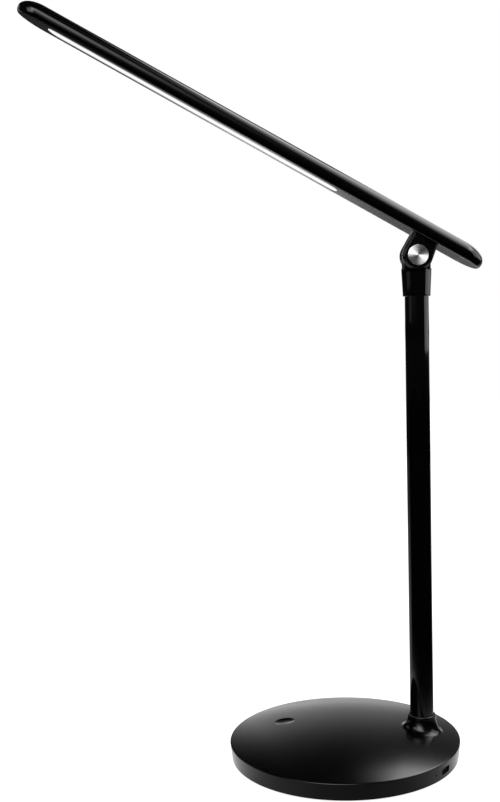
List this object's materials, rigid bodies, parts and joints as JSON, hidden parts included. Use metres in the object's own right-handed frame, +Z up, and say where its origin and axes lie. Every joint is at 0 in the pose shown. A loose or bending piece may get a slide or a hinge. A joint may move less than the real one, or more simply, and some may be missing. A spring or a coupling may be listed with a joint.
{
  "type": "folding LED desk lamp",
  "caption": "Black folding LED desk lamp: slim head on a friction hinge, upright swivelling tube arm and weighted round domed base with touch dish and power inlet.",
  "frame": {"origin": "centre of the base on the table, under the rubber feet", "axes": "+Z up; the head reaches towards -X at rest; the head hinge runs along Y, and the base's touch dish is on the -X side"},
  "size_m": [0.3337, 0.175, 0.5634],
  "materials": {
    "base_gloss": "black moulded plastic with a satin gloss",
    "head_gloss": "black moulded plastic, glossy",
    "arm_black": "black gloss paint on an aluminium tube",
    "matte_black": "black moulded plastic, lightly textured",
    "steel": "plated steel",
    "spun_metal": "spun aluminium with radial anisotropic highlights",
    "foot_rubber": "soft black rubber",
    "circuit_board": "green solder mask",
    "copper": "bare copper electrode",
    "wire_red": "red insulation",
    "lead_black": "black insulation",
    "bearing_plastic": "natural low-friction plastic",
    "white_board": "white solder mask",
    "led_yellow": "phosphor-filled LED packages",
    "white_plastic": "white moulded reflector",
    "diffuser_white": "opal diffuser, lit from behind"
  },
  "bodies": {
    "base": {"base_shell": "base_gloss", "base_cover": "matte_black", "ballast_plate": "steel", "rubber_feet": "foot_rubber", "cover_screws": "steel", "main_board": "circuit_board", "board_screws": "steel", "usb_socket": "steel", "socket_tongue": "matte_black", "touch_pad": "copper", "touch_wire": "wire_red", "base_lead": "lead_black", "swivel_bush": "bearing_plastic", "swivel_plate": "steel", "plate_screws": "steel"},
    "arm": {"wave_washer": "steel", "swivel_flange": "steel", "arm_tube": "arm_black", "arm_collar": "head_gloss", "hinge_lug": "head_gloss", "lug_screw": "steel", "arm_lead": "lead_black", "hinge_lead": "lead_black"},
    "head": {"hinge_fork": "head_gloss", "hinge_bolt": "steel", "hinge_nut": "steel", "spring_washer": "steel", "friction_washers": "bearing_plastic", "hinge_cap_front": "spun_metal", "hinge_cap_rear": "spun_metal", "fork_screws": "steel", "head_lead": "lead_black", "head_top": "head_gloss", "head_frame": "head_gloss", "tail_screws": "steel", "head_backbone": "steel", "led_board": "white_board", "leds": "led_yellow", "reflector": "white_plastic", "diffuser": "diffuser_white"}
  },
  "joints": [
    {"name": "arm_swivel", "type": "hinge", "parent": "base", "child": "arm", "pos_m": [0.0595, 0, 0.02], "axis": [0, 0, 1], "range_deg": [-90, 90]},
    {"name": "head_tilt", "type": "hinge", "parent": "arm", "child": "head", "pos_m": [0.0595, 0, 0.3764], "axis": [0, 1, 0], "range_deg": [-118, 22], "deforming": ["hinge_lead"]}
  ]
}
